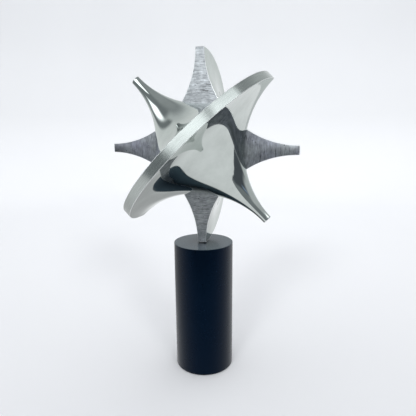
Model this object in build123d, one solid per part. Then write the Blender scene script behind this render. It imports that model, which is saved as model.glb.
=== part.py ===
# Magnetic desk sculpture: two solid aluminium halves of a double trumpet, held
# face to face by inlaid magnets, turning on a pivot pin in a black column.
#
# Millimetres, +Z up. The origin is the centre of the felt pad's underside, on the
# column's axis. The halves meet on a vertical plane that faces -Y. The back half's
# horns lie along X and its rim stands upright; the front half is turned about Y.
from build123d import *
from math import cos, radians, sin
import os

# ---- the star ----
star_span = 203.2        # across the rim, and from horn end to horn end
edge_w = 9.525           # width of the rim band, and diameter of a horn's end
edge_break = 0.4         # broken edges of both halves
front_turn = 45.0        # degrees that the front half is turned from the back half
face_gap = 0.2           # between the two sawn faces
axis_setback = 6.0       # from the plane of the faces back to the pivot's axis
tip_gap = 0.85           # from the column's top to the star's lowest point

# ---- the magnets, alike in both halves ----
cup_d = 40.0
cup_depth = 8.0
cup_wall = 3.0
cup_floor = 3.0
cup_proud = 0.07         # the cups' rims meet before the aluminium does
magnet_d = 28.0
magnet_bore_d = 16.0
bush_head_d = 14.0
bush_shank_d = 10.0
bush_thread = 8.0        # length screwed into the aluminium
bush_spare = 1.0         # thread hole beyond the bush's end
peg_d = 6.35
peg_hold = 12.0          # length of peg in each half
peg_end_break = 0.5

# ---- the pivot ----
pin_d = 4.7625
pin_engage = 20.0        # length of pin inside the star
pin_end_break = 0.5
sleeve_wall = 0.79
sleeve_len = 16.0
ball_d = 4.7625

# ---- the column ----
column_d = 65.0
column_h = 146.05        # from the table to the top face
column_wall = 6.0
column_top_t = 14.0
column_edge_break = 0.4
base_t = 12.0
base_edge_break = 0.5
rod_d = 8.0
rod_thread_in_top = 10.0
nut_across_flats = 13.0
nut_t = 6.5
washer_d = 16.0
washer_t = 1.6
nut_pocket_margin = 2.0  # room around the washer for a socket wrench
rod_end_recess = 1.0     # rod's lower end above the felt
felt_t = 1.0
felt_inset = 1.0         # felt's rim in from the column's side

# ---- clearances, all on the radius or along an axis ----
glue_line = 0.04
seat_gap = 0.02
thread_gap = 0.02
running_gap = 0.04
ball_gap = 0.05
ballast_gap = 0.5

# ---- places worked out from the sizes above ----
star_r = star_span / 2
flank_r = star_r - edge_w / 2
star_centre = Vector(0, -axis_setback, column_h + tip_gap + star_r)
into_back = Vector(0, 1, 0)
into_front = Vector(0, -1, 0)
turn = radians(front_turn)

# Each half has its own frame: X along its horns, Z into its metal, origin on its face.
back_frame = Plane(star_centre + into_back * (face_gap / 2), (1, 0, 0), into_back)
front_frame = Plane(star_centre + into_front * (face_gap / 2), (cos(turn), 0, -sin(turn)), into_front)

cup_r = cup_d / 2
magnet_t = cup_depth - cup_floor
bush_shank_r = bush_shank_d / 2
bush_len = cup_depth + bush_thread
peg_r = peg_d / 2
peg_bore_r = peg_r + running_gap

pin_r = pin_d / 2
pin_bore_r = pin_r + running_gap
sleeve_r = pin_bore_r + sleeve_wall
star_bottom_z = star_centre.Z - star_r
pin_top_z = star_bottom_z + pin_engage
ball_r = ball_d / 2
ball_z = pin_top_z + ball_gap + ball_r
blind_bore_r = max(pin_bore_r, ball_r + seat_gap)

column_r = column_d / 2
column_bore_r = column_r - column_wall
column_bottom_z = felt_t
column_inner_top_z = column_h - column_top_t
base_top_z = column_bottom_z + base_t
rod_r = rod_d / 2
rod_shoulder_z = column_inner_top_z + rod_thread_in_top
nut_pocket_r = washer_d / 2 + nut_pocket_margin
nut_pocket_t = nut_t + washer_t + rod_end_recess
nut_pocket_top_z = column_bottom_z + nut_pocket_t


def upright(radius, bottom, top, x=0.0, y=0.0):
    """Cylinder about a vertical axis, between two heights."""
    return Pos(x, y, bottom) * Cylinder(radius, top - bottom, align=(Align.CENTER, Align.CENTER, Align.MIN))


def ring(outer_r, inner_r, bottom, top):
    """Washer-shaped body about Z."""
    return upright(outer_r, bottom, top) - upright(inner_r, bottom, top)


def half_blank():
    """Half of a double trumpet in its own frame, its sawn face on Z = 0, edges broken."""
    horn_end = (star_r, edge_w / 2)
    rim_edge = (edge_w / 2, star_r)
    nearest = star_r - flank_r * cos(radians(45))
    right_flank = ThreePointArc(horn_end, (nearest, nearest), rim_edge)
    left_flank = mirror(right_flank, Plane.YZ)
    horns = Polyline((-star_r, edge_w / 2), (-star_r, 0), (star_r, 0), horn_end)
    rim = Line(rim_edge, (-edge_w / 2, star_r))
    section = make_face([right_flank, left_flank, horns, rim])
    section = chamfer(section.vertices().filter_by(lambda corner: corner.Y > 0), edge_break)
    blank = revolve(section, Axis.X, 180)
    if blank.bounding_box().min.Z < -edge_w:
        blank = mirror(blank, Plane.XY)
    sawn_face = blank.faces().filter_by(Axis.Z).sort_by(Axis.Z)[0]
    return chamfer(sawn_face.edges(), edge_break)


def half_machined():
    """Blank with the magnet's pocket and the centre bush's thread hole cut in its face."""
    pocket = upright(cup_r + glue_line, 0, cup_depth - cup_proud)
    thread_hole = upright(bush_shank_r + thread_gap, 0, bush_len - cup_proud + bush_spare)
    return half_blank() - pocket - thread_hole


def magnet_cup():
    """Steel pot that carries the magnet, its floor drilled for the centre bush."""
    outside = upright(cup_r, 0, cup_depth)
    hollow = upright(cup_r - cup_wall, 0, cup_depth - cup_floor)
    hole = upright(bush_shank_r + thread_gap, 0, cup_depth)
    return outside - hollow - hole


def ring_magnet():
    return ring(magnet_d / 2, magnet_bore_d / 2, 0, magnet_t - seat_gap)


def spacer_ring():
    """Brass ring that centres the magnet in its cup."""
    return ring(cup_r - cup_wall - glue_line, magnet_d / 2 + glue_line, 0, magnet_t - seat_gap)


def centre_bush():
    """Headed hollow screw that clamps the cup and guides the centring peg."""
    head = upright(bush_head_d / 2, 0, magnet_t - seat_gap)
    shank = upright(bush_shank_r, 0, bush_len)
    return head + shank - upright(peg_bore_r, 0, bush_len)


def centring_peg():
    """Loose brass dowel across the joint, along Y through the star's centre."""
    peg = Cylinder(peg_r, 2 * peg_hold)
    peg = chamfer(peg.edges().filter_by(GeomType.CIRCLE), peg_end_break)
    return Plane(star_centre, (1, 0, 0), into_back) * peg


def in_cup(plane, piece):
    """Put a magnet piece into a half's pocket, standing proud by the cup's amount."""
    return plane * (Pos(0, 0, -cup_proud) * piece)


def back_half():
    """Back half with the blind bore that takes the sleeve, and the ball above it."""
    body = back_frame * half_machined()
    sleeve_hole = upright(sleeve_r + seat_gap, star_bottom_z - 1, star_bottom_z + sleeve_len + seat_gap)
    blind_bore = upright(blind_bore_r, star_bottom_z, ball_z + ball_r + seat_gap)
    return body - sleeve_hole - blind_bore


def swivel_sleeve():
    """Bronze sleeve in the upright rim's tip, trimmed to the rim's curve."""
    sleeve = upright(sleeve_r, star_bottom_z, star_bottom_z + sleeve_len)
    sleeve -= upright(pin_bore_r, star_bottom_z, star_bottom_z + sleeve_len)
    rim_disc = Cylinder(star_r, star_span, rotation=(0, 90, 0))
    return sleeve & (Pos(0, star_centre.Y + face_gap / 2, star_centre.Z) * rim_disc)


def thrust_ball():
    """Ball at the bore's blind end; the star's weight turns on it."""
    return Pos(0, 0, ball_z) * Sphere(ball_r)


def column_shell():
    """Black column, bored from below, closed at the top but for the pin's hole."""
    shell = upright(column_r, column_bottom_z, column_h)
    shell = chamfer(shell.edges().filter_by(GeomType.CIRCLE), column_edge_break)
    shell -= upright(column_bore_r, column_bottom_z, column_inner_top_z)
    shell -= upright(rod_r + thread_gap, column_inner_top_z, rod_shoulder_z)
    return shell - upright(pin_r + seat_gap, rod_shoulder_z, column_h)


def pivot_rod():
    """Tie rod from the nut up into the column's top, turned down to the pin above it."""
    bottom_z = column_bottom_z + rod_end_recess
    rod = upright(rod_r, bottom_z, rod_shoulder_z)
    pin = upright(pin_r, rod_shoulder_z, pin_top_z)
    pin = chamfer(pin.edges().filter_by(GeomType.CIRCLE).sort_by(Axis.Z)[-1:], pin_end_break)
    return rod + pin


def ballast():
    """Cast iron slug that fills the column between the base plate and the top."""
    slug = upright(column_bore_r - ballast_gap, base_top_z, column_inner_top_z)
    return slug - upright(rod_r + ballast_gap, base_top_z, column_inner_top_z)


def base_plate():
    """Steel plug in the column's foot with the nut's pocket in its underside."""
    plate = upright(column_bore_r - seat_gap, column_bottom_z, base_top_z)
    plate = chamfer(plate.edges().filter_by(GeomType.CIRCLE), base_edge_break)
    plate -= upright(nut_pocket_r, column_bottom_z, nut_pocket_top_z)
    return plate - upright(rod_r + ballast_gap, column_bottom_z, base_top_z)


def rod_washer():
    washer = ring(washer_d / 2, rod_r + thread_gap, 0, washer_t)
    return Pos(0, 0, nut_pocket_top_z - washer_t) * washer


def rod_nut():
    top_z = nut_pocket_top_z - washer_t
    flats = RegularPolygon(nut_across_flats / 2, 6, major_radius=False)
    nut = Pos(0, 0, top_z - nut_t) * extrude(flats, nut_t)
    return nut - upright(rod_r + thread_gap, top_z - nut_t, top_z)


def felt_pad():
    return upright(column_r - felt_inset, 0, felt_t)


parts = {
    "column_shell": column_shell(),
    "pivot_rod": pivot_rod(),
    "ballast_weight": ballast(),
    "base_plate": base_plate(),
    "rod_washer": rod_washer(),
    "rod_nut": rod_nut(),
    "felt_pad": felt_pad(),
    "back_half": back_half(),
    "swivel_sleeve": swivel_sleeve(),
    "thrust_ball": thrust_ball(),
    "centring_peg": centring_peg(),
    "front_half": front_frame * half_machined(),
}
for side, frame in (("back", back_frame), ("front", front_frame)):
    parts[side + "_magnet_cup"] = in_cup(frame, magnet_cup())
    parts[side + "_ring_magnet"] = in_cup(frame, ring_magnet())
    parts[side + "_spacer_ring"] = in_cup(frame, spacer_ring())
    parts[side + "_centre_bush"] = in_cup(frame, centre_bush())

os.makedirs("parts", exist_ok=True)
for node, shape in parts.items():
    export_step(shape, f"parts/{node}.step")
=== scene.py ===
"""Magnetic desk sculpture: the two aluminium star halves, their black column, its felt,
the finishes of the small pieces inside, and a plain studio to show them in."""

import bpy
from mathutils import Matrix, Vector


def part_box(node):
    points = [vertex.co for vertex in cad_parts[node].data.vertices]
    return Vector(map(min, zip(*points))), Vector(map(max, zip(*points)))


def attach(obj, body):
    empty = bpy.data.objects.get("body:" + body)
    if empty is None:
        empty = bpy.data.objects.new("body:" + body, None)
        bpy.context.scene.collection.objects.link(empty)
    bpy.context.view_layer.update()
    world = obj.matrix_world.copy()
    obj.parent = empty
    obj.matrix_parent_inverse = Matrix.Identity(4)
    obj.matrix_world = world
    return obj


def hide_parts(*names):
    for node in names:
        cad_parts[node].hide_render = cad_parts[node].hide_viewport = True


bl_info = {
    "name": "Magnetic desk sculpture",
    "version": (1, 0, 0),
    "blender": (4, 5, 0),
    "location": "3D View > Sidebar > Sculpture",
    "description": "Builds a two-part aluminium star on a black column",
    "category": "Object",
}

import bpy
import math
import numpy as np
from mathutils import Matrix, Vector

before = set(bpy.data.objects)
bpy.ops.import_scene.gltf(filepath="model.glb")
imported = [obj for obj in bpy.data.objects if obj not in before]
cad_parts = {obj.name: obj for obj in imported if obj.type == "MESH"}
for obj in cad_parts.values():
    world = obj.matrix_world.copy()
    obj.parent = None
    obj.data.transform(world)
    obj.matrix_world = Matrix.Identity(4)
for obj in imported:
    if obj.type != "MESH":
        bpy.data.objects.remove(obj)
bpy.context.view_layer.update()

MM = 0.001

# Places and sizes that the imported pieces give.
back_low, back_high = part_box("back_half")
front_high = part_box("front_half")[1]
cup_low, cup_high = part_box("back_magnet_cup")
bush_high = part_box("back_centre_bush")[1]
sleeve_low, sleeve_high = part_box("swivel_sleeve")
ball_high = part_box("thrust_ball")[1]
column_low, column_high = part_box("column_shell")
slug_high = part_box("ballast_weight")[1]
pad_low, pad_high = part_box("felt_pad")
face_plane_y = (front_high.y + back_low.y) / 2
star_centre = Vector((0.0, face_plane_y, (back_low.z + back_high.z) / 2))


# ---------------------------------------------------------------- sizes and colours


def srgb_to_linear(code):
    """Linear red, green and blue of an sRGB hex colour."""
    values = [int(code[i : i + 2], 16) / 255 for i in (1, 3, 5)]
    return [v / 12.92 if v <= 0.04045 else ((v + 0.055) / 1.055) ** 2.4 for v in values]


def opaque(code):
    """An sRGB hex colour as the four numbers that a node's colour takes."""
    return (*srgb_to_linear(code), 1.0)


class StarSizes(bpy.types.PropertyGroup):
    """Sizes of the two star halves."""

    span: bpy.props.FloatProperty(
        name="Span",
        description="Across the rim, and from horn end to horn end",
        default=round(back_high.z - back_low.z, 4),
        min=0.02,
        unit="LENGTH",
        subtype="DISTANCE",
    )
    rim_width: bpy.props.FloatProperty(
        name="Rim width",
        description="Width of the rim band, and diameter of a horn's end",
        default=9.525 * MM,
        min=0.002,
        unit="LENGTH",
        subtype="DISTANCE",
    )
    edge_break: bpy.props.FloatProperty(
        name="Edge break",
        description="How far the sharp edges are taken off",
        default=0.4 * MM,
        min=0.0001,
        unit="LENGTH",
        subtype="DISTANCE",
    )
    front_turn: bpy.props.FloatProperty(
        name="Front half's turn",
        description="Angle between the two halves' horns",
        default=math.radians(45),
        unit="ROTATION",
        subtype="ANGLE",
    )
    pocket_radius: bpy.props.FloatProperty(
        name="Magnet pocket radius",
        description="Radius of the pocket for the magnet's cup",
        default=(cup_high.x - cup_low.x) / 2 + 0.04 * MM,
        unit="LENGTH",
        subtype="DISTANCE",
    )
    pocket_depth: bpy.props.FloatProperty(
        name="Magnet pocket depth",
        description="Depth of the pocket below the sawn face",
        default=cup_high.y - back_low.y,
        unit="LENGTH",
        subtype="DISTANCE",
    )
    thread_radius: bpy.props.FloatProperty(
        name="Thread hole radius",
        description="Radius of the hole for the centre bush",
        default=5.02 * MM,
        unit="LENGTH",
        subtype="DISTANCE",
    )
    thread_depth: bpy.props.FloatProperty(
        name="Thread hole depth",
        description="Depth of the centre bush's hole below the sawn face",
        default=bush_high.y - back_low.y + 1.0 * MM,
        unit="LENGTH",
        subtype="DISTANCE",
    )
    sleeve_radius: bpy.props.FloatProperty(
        name="Sleeve hole radius",
        description="Radius of the hole for the swivel sleeve in the back half",
        default=(sleeve_high.x - sleeve_low.x) / 2 + 0.02 * MM,
        unit="LENGTH",
        subtype="DISTANCE",
    )
    pin_bore_radius: bpy.props.FloatProperty(
        name="Pin bore radius",
        description="Radius of the blind bore above the swivel sleeve",
        default=2.42 * MM,
        unit="LENGTH",
        subtype="DISTANCE",
    )
    flank_columns: bpy.props.IntProperty(
        name="Flank columns",
        description="Rows of points from horn end to horn end, an even number",
        default=194,
        min=12,
        max=400,
    )
    turn_steps: bpy.props.IntProperty(
        name="Turn steps",
        description="Steps round the half turn",
        default=120,
        min=12,
        max=300,
    )


class ColumnSizes(bpy.types.PropertyGroup):
    """Sizes of the column and its felt."""

    diameter: bpy.props.FloatProperty(
        name="Diameter",
        description="Diameter of the black column",
        default=column_high.x - column_low.x,
        unit="LENGTH",
        subtype="DISTANCE",
    )
    wall: bpy.props.FloatProperty(
        name="Wall",
        description="Thickness of the column's side",
        default=6.0 * MM,
        unit="LENGTH",
        subtype="DISTANCE",
    )
    edge_break: bpy.props.FloatProperty(
        name="Edge break",
        description="How far the column's edges are taken off",
        default=0.4 * MM,
        unit="LENGTH",
        subtype="DISTANCE",
    )
    felt_break: bpy.props.FloatProperty(
        name="Felt edge",
        description="Rounding of the felt pad's rim",
        default=0.35 * MM,
        unit="LENGTH",
        subtype="DISTANCE",
    )


class FinishColours(bpy.types.PropertyGroup):
    """Colours of the finishes."""

    aluminium: bpy.props.FloatVectorProperty(
        name="Aluminium",
        description="Reflected colour of the polished and brushed aluminium",
        default=srgb_to_linear("#CBD1CE"),
        subtype="COLOR",
        min=0,
        max=1,
    )
    sawn_aluminium: bpy.props.FloatVectorProperty(
        name="Faced aluminium",
        description="Reflected colour of the faced, unpolished aluminium",
        default=srgb_to_linear("#D2D6DA"),
        subtype="COLOR",
        min=0,
        max=1,
    )
    anodising: bpy.props.FloatVectorProperty(
        name="Black anodising",
        description="Colour of the column's dyed oxide skin",
        default=srgb_to_linear("#030810"),
        subtype="COLOR",
        min=0,
        max=1,
    )
    felt: bpy.props.FloatVectorProperty(
        name="Felt",
        description="Colour of the wool felt under the column",
        default=srgb_to_linear("#26272A"),
        subtype="COLOR",
        min=0,
        max=1,
    )


class StudioSettings(bpy.types.PropertyGroup):
    """Camera and room round the sculpture."""

    camera_place: bpy.props.FloatVectorProperty(
        name="Camera",
        description="Where the camera stands",
        default=(0.13357, -0.42154, 0.27866),
        subtype="TRANSLATION",
        unit="LENGTH",
    )
    camera_turn: bpy.props.FloatVectorProperty(
        name="Camera turn",
        description="How the camera is turned",
        default=[math.radians(a) for a in (77.900, 0.423, 16.795)],
        subtype="EULER",
        unit="ROTATION",
    )
    lens: bpy.props.FloatProperty(
        name="Lens",
        description="Focal length on a 36 mm sensor",
        default=35.72,
        min=10,
        unit="CAMERA",
    )
    sweep_radius: bpy.props.FloatProperty(
        name="Sweep radius",
        description="From the column to the pale wall all round it",
        default=1.7,
        min=0.5,
        unit="LENGTH",
        subtype="DISTANCE",
    )
    room_light: bpy.props.FloatProperty(
        name="Room light",
        description="Strength of the even light from all sides",
        default=0.86,
        min=0,
    )
    key_light: bpy.props.FloatProperty(
        name="Key light",
        description="Strength of each of the two soft suns from the front",
        default=0.72,
        min=0,
    )


# ---------------------------------------------------------------- shared helpers


def set_inputs(tree, node, inputs):
    """Give each of a node's inputs a value or a link. A node stands for its first output,
    and a list for several links to one input."""
    for key, value in inputs.items():
        sources = value if isinstance(value, list) else [value]
        for source in sources:
            if isinstance(source, bpy.types.Node):
                source = source.outputs[0]
            if isinstance(source, bpy.types.NodeSocket):
                tree.links.new(source, node.inputs[key])
            else:
                node.inputs[key].default_value = source


def add_node(tree, kind, inputs=None, **settings):
    """Add a node, set its options, and give its inputs their values and links. In Map
    Range, inputs 1 to 4 are the limits from and to. In Mix, 6 and 7 are the colours."""
    node = tree.nodes.new(kind)
    for option, value in settings.items():
        setattr(node, option, value)
    set_inputs(tree, node, inputs or {})
    return node


def start_material(name):
    """New node material, with its tree and its surface shader."""
    material = bpy.data.materials.new(name)
    material.use_nodes = True
    tree = material.node_tree
    shader = tree.nodes["Principled BSDF"]
    return material, tree, shader


def new_tree(name, sockets):
    """Geometry node tree with one geometry in and out, and named inputs for its sizes."""
    tree = bpy.data.node_groups.new(name, "GeometryNodeTree")
    tree.interface.new_socket(name="Geometry", in_out="OUTPUT", socket_type="NodeSocketGeometry")
    tree.interface.new_socket(name="Geometry", in_out="INPUT", socket_type="NodeSocketGeometry")
    for label, kind in sockets:
        tree.interface.new_socket(name=label, in_out="INPUT", socket_type=kind)
    return tree


def end_tree(tree, given, geometry):
    """End a geometry node tree in real geometry with its material."""
    real = add_node(tree, "GeometryNodeRealizeInstances", {"Geometry": geometry})
    painted = add_node(tree, "GeometryNodeSetMaterial", {"Geometry": real, "Material": given["Material"]})
    add_node(tree, "NodeGroupOutput", {"Geometry": painted})
    return tree


def add_tree(piece, tree, values):
    """Put a geometry node tree on a piece and set its named inputs."""
    modifier = piece.modifiers.new(tree.name, "NODES")
    modifier.node_group = tree
    for item in tree.interface.items_tree:
        if item.item_type == "SOCKET" and item.in_out == "INPUT" and item.name in values:
            modifier[item.identifier] = values[item.name]
    return modifier


def empty_piece(name):
    """New mesh object with nothing in it yet."""
    piece = bpy.data.objects.new(name, bpy.data.meshes.new(name))
    bpy.context.scene.collection.objects.link(piece)
    return piece


def make_plain(piece):
    """Replace a piece's mesh by what its modifiers make, and take them off."""
    depsgraph = bpy.context.evaluated_depsgraph_get()
    made = bpy.data.meshes.new_from_object(
        piece.evaluated_get(depsgraph), preserve_all_data_layers=True, depsgraph=depsgraph
    )
    piece.modifiers.clear()
    piece.data = made
    made.name = piece.name


# ---------------------------------------------------------------- finishes
# Object coordinates are metres, so a noise scale of 1000 / d gives blotches about
# d millimetres apart.
BLACK = (0.0, 0.0, 0.0, 1.0)


def mottled(tree, colour, pattern, low, high, at_low, at_high):
    """Colour darkened by a pattern, down to a share of it where the pattern is low and
    another where it is high."""
    share = add_node(
        tree, "ShaderNodeMapRange", {"Value": pattern, 1: low, 2: high, 3: at_low, 4: at_high}
    )
    tint = add_node(
        tree, "ShaderNodeMix", {"Factor": share, 6: BLACK, 7: (*colour, 1.0)}, data_type="RGBA"
    )
    return tint.outputs[2]


def drawn_lines(tree, place, spacing, detail, roughness=0.5):
    """Noise drawn out into tool lines, with its spacing in millimetres along each way."""
    line_place = add_node(
        tree, "ShaderNodeMapping", {"Vector": place, "Scale": tuple(1000 / mm for mm in spacing)}
    )
    return add_node(
        tree,
        "ShaderNodeTexNoise",
        {"Vector": line_place, "Scale": 1.0, "Detail": detail, "Roughness": roughness},
    )


def spread_across_marks(tree, shader, amount):
    """Spread the highlights of a metal across its tool marks."""
    across = add_node(tree, "ShaderNodeAttribute", attribute_name="across_marks")
    tangent = add_node(
        tree,
        "ShaderNodeVectorTransform",
        {"Vector": across.outputs["Vector"]},
        vector_type="VECTOR",
        convert_from="OBJECT",
        convert_to="WORLD",
    )
    set_inputs(tree, shader, {"Tangent": tangent, "Anisotropic": amount})


def shares_together(tree, shares):
    """Several darkening shares multiplied into one."""
    product = shares[0]
    for share in shares[1:]:
        product = add_node(tree, "ShaderNodeMath", {0: product, 1: share}, operation="MULTIPLY")
    return product


def buffed_aluminium(colour):
    """Cast aluminium turned and buffed to a mirror: sharp reflections, very slightly
    wavy from hand buffing, with faint hazy patches and hairline scratches."""
    material, tree, shader = start_material("buffed_aluminium")
    place = add_node(tree, "ShaderNodeTexCoord").outputs["Object"]
    haze = add_node(
        tree, "ShaderNodeTexNoise", {"Vector": place, "Scale": 1000 / 18, "Detail": 5.0, "Roughness": 0.6}
    )
    rough = add_node(tree, "ShaderNodeMapRange", {"Value": haze, 1: 0.35, 2: 0.75, 3: 0.035, 4: 0.085})
    wave = add_node(tree, "ShaderNodeTexNoise", {"Vector": place, "Scale": 1000 / 30, "Detail": 1.0})
    wave_bump = add_node(tree, "ShaderNodeBump", {"Height": wave, "Strength": 0.5, "Distance": 0.0003})
    # Buffing lines follow the lathe's turn: thin across the flank, long round it. They
    # are 0.9 mm apart, far coarser than real ones, so that they show.
    turned = add_node(tree, "ShaderNodeAttribute", attribute_name="turned_place").outputs["Vector"]
    lines = drawn_lines(tree, turned, (0.9, 30, 30), 3.0, 0.6)
    line_bump = add_node(
        tree,
        "ShaderNodeBump",
        {"Height": lines, "Normal": wave_bump, "Strength": 0.06, "Distance": 0.00004},
    )
    tint = mottled(tree, colour, haze, 0.32, 0.7, 1.0, 0.88)
    set_inputs(
        tree, shader, {"Base Color": tint, "Roughness": rough, "Normal": line_bump, "Metallic": 1.0}
    )
    return material


def belt_brushed_aluminium(colour):
    """Aluminium brushed along the rim with a fine belt: highlights spread across the
    band but change quickly along it, with short streaks."""
    material, tree, shader = start_material("belt_brushed_aluminium")
    turned = add_node(tree, "ShaderNodeAttribute", attribute_name="turned_place").outputs["Vector"]
    # Belt lines about 0.5 mm apart, drawn coarser than the real 0.1 mm so they show.
    lines = drawn_lines(tree, turned, (0.5, 14, 14), 4.0, 0.65)
    # Chatter: faint flats across the band, 2 to 4 mm apart along it.
    chatter = drawn_lines(tree, turned, (60, 2.2, 2.2), 2.0)
    chatter_bump = add_node(
        tree, "ShaderNodeBump", {"Height": chatter, "Strength": 0.3, "Distance": 0.00006}
    )
    line_bump = add_node(
        tree,
        "ShaderNodeBump",
        {"Height": lines, "Normal": chatter_bump, "Strength": 0.25, "Distance": 0.00005},
    )
    tint = mottled(tree, colour, lines, 0.3, 0.7, 0.68, 0.84)
    set_inputs(
        tree, shader, {"Base Color": tint, "Normal": line_bump, "Metallic": 1.0, "Roughness": 0.26}
    )
    spread_across_marks(tree, shader, 0.85)
    return material


def cut_rings(tree, centred, apart, along, detail, roughness):
    """Noise in rings about the centre: millimetres between rings and along a ring."""
    radius = add_node(tree, "ShaderNodeVectorMath", {0: centred}, operation="LENGTH").outputs["Value"]
    parts = add_node(tree, "ShaderNodeSeparateXYZ", {0: centred}).outputs
    scaled = [
        add_node(tree, "ShaderNodeMath", {0: length, 1: 1000 / mm}, operation="MULTIPLY")
        for length, mm in ((radius, apart), (parts[0], along), (parts[2], along))
    ]
    ring_place = add_node(tree, "ShaderNodeCombineXYZ", {0: scaled[0], 1: scaled[1], 2: scaled[2]})
    return add_node(
        tree,
        "ShaderNodeTexNoise",
        {"Vector": ring_place, "Scale": 1.0, "Detail": detail, "Roughness": roughness},
    )


def open_pores(tree, place, blotches):
    """Mask of the casting's pores, 4.5 mm apart, open only in some of the blotches."""
    pores = add_node(
        tree, "ShaderNodeTexVoronoi", {"Vector": place, "Scale": 1000 / 4.5, "Randomness": 1.0}
    )
    holes = add_node(tree, "ShaderNodeMapRange", {"Value": pores, 1: 0.08, 2: 0.2, 3: 1.0, 4: 0.0})
    some = add_node(tree, "ShaderNodeMapRange", {"Value": blotches, 1: 0.52, 2: 0.58, 3: 0.0, 4: 1.0})
    return shares_together(tree, [holes, some])


def violet_oxide(tree, colour, place, along_horns):
    """Metal that oxide turns faintly violet in broad patches, out along the level horns."""
    oxide = add_node(tree, "ShaderNodeTexNoise", {"Vector": place, "Scale": 1000 / 26, "Detail": 3.0})
    patch = add_node(tree, "ShaderNodeMapRange", {"Value": oxide, 1: 0.42, 2: 0.66, 3: 0.0, 4: 0.8})
    way_out = add_node(tree, "ShaderNodeMath", {0: along_horns}, operation="ABSOLUTE")
    outer = add_node(tree, "ShaderNodeMapRange", {"Value": way_out, 1: 0.02, 2: 0.07, 3: 0.0, 4: 1.0})
    metal = add_node(
        tree,
        "ShaderNodeMix",
        {"Factor": shares_together(tree, [patch, outer]), 6: (*colour, 1.0), 7: opaque("#C9CADC")},
        data_type="RGBA",
    )
    return metal.outputs[2]


def faced_aluminium(colour):
    """Sawn aluminium faced flat on a lathe: dull grey, cut marks in circles about the
    centre, uneven blotches of oxide, and a few open pores of the casting."""
    material, tree, shader = start_material("faced_aluminium")
    place = add_node(tree, "ShaderNodeTexCoord").outputs["Object"]
    centred = add_node(
        tree, "ShaderNodeVectorMath", {0: place, 1: tuple(star_centre)}, operation="SUBTRACT"
    )
    parts = add_node(tree, "ShaderNodeSeparateXYZ", {0: centred}).outputs
    # Cut marks 0.9 mm apart, coarser than the real feed of 0.2 mm so that they show.
    marks = cut_rings(tree, centred, 0.9, 9, 5.0, 0.7)
    # A few deeper rings where the tool dug in, ragged and broken along their length.
    rings = cut_rings(tree, centred, 2.2, 24, 6.0, 0.75)
    blotches = add_node(
        tree, "ShaderNodeTexNoise", {"Vector": place, "Scale": 1000 / 5, "Detail": 5.0, "Roughness": 0.65}
    )
    # What darkens the metal: its limits from and to, and its shares at them. The last
    #     three make it darker towards one horn's end, darker towards the lowest point as a
    #     painted shade, and paler towards the other horn.
    darkening = (
        (marks, 0.32, 0.68, 0.42, 0.9),
        (blotches, 0.32, 0.68, 0.66, 1.08),
        (rings, 0.56, 0.63, 1.0, 0.42),
        (parts[0], -0.098, -0.08, 0.62, 1.0),
        # painted shade: darker towards the lowest point, just above the column
        (parts[2], -0.062, -0.03, 0.79, 1.0),
        (parts[0], 0.045, 0.09, 1.0, 1.12),
    )
    shares = [
        add_node(tree, "ShaderNodeMapRange", {"Value": value, 1: low, 2: high, 3: at_low, 4: at_high})
        for value, low, high, at_low, at_high in darkening
    ]
    tint = add_node(
        tree,
        "ShaderNodeMix",
        {
            "Factor": shares_together(tree, shares),
            6: BLACK,
            7: violet_oxide(tree, colour, place, parts[0]),
        },
        data_type="RGBA",
    )
    pores = open_pores(tree, place, blotches)
    # Painted shade: the pores are dark grey for the shade in their hollows.
    pores_shaded = add_node(
        tree,
        "ShaderNodeMix",
        {"Factor": pores, 6: tint.outputs[2], 7: opaque("#3A3D40")},
        data_type="RGBA",
    )
    rough = add_node(tree, "ShaderNodeMapRange", {"Value": marks, 1: 0.3, 2: 0.7, 3: 0.4, 4: 0.26})
    mark_bump = add_node(tree, "ShaderNodeBump", {"Height": marks, "Strength": 0.5, "Distance": 0.00009})
    pore_bump = add_node(
        tree,
        "ShaderNodeBump",
        {"Height": pores, "Normal": mark_bump, "Strength": 0.6, "Distance": 0.0002},
        invert=True,
    )
    set_inputs(
        tree,
        shader,
        {"Base Color": pores_shaded.outputs[2], "Roughness": rough, "Normal": pore_bump, "Metallic": 1.0},
    )
    spread_across_marks(tree, shader, 0.6)
    return material


def rubbed_edge_aluminium(colour):
    """Edges rubbed down by hand: bright, nearly polished metal with tiny nicks."""
    material, tree, shader = start_material("rubbed_edge_aluminium")
    place = add_node(tree, "ShaderNodeTexCoord").outputs["Object"]
    nicks = add_node(tree, "ShaderNodeTexNoise", {"Vector": place, "Scale": 1000 / 1.5, "Detail": 3.0})
    rough = add_node(tree, "ShaderNodeMapRange", {"Value": nicks, 1: 0.3, 2: 0.7, 3: 0.34, 4: 0.48})
    bump = add_node(tree, "ShaderNodeBump", {"Height": nicks, "Strength": 0.15, "Distance": 0.00005})
    set_inputs(
        tree, shader, {"Roughness": rough, "Normal": bump, "Base Color": (*colour, 1.0), "Metallic": 1.0}
    )
    return material


def top_dust_and_shade(tree, place):
    """Where the column's top face is, and how much pale dusting lies on it: less near the pin, as a painted
    shade of the star above.
    """
    parts = add_node(tree, "ShaderNodeSeparateXYZ", {0: place}).outputs
    on_top = add_node(
        tree,
        "ShaderNodeMapRange",
        {"Value": parts[2], 1: column_high.z - 0.3 * MM, 2: column_high.z, 3: 0.0, 4: 1.0},
    )
    flat_place = add_node(tree, "ShaderNodeCombineXYZ", {0: parts[0], 1: parts[1]})
    from_pin = add_node(tree, "ShaderNodeVectorMath", {0: flat_place}, operation="LENGTH")
    # Painted shade: less of the pale dusting near the pin, where the star's shadow falls.
    shade_near_pin = add_node(
        tree,
        "ShaderNodeMapRange",
        {"Value": from_pin.outputs["Value"], 1: 0.006, 2: 0.026, 3: 0.25, 4: 1.0},
    )
    return on_top, shares_together(tree, [on_top, shade_near_pin])


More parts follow.
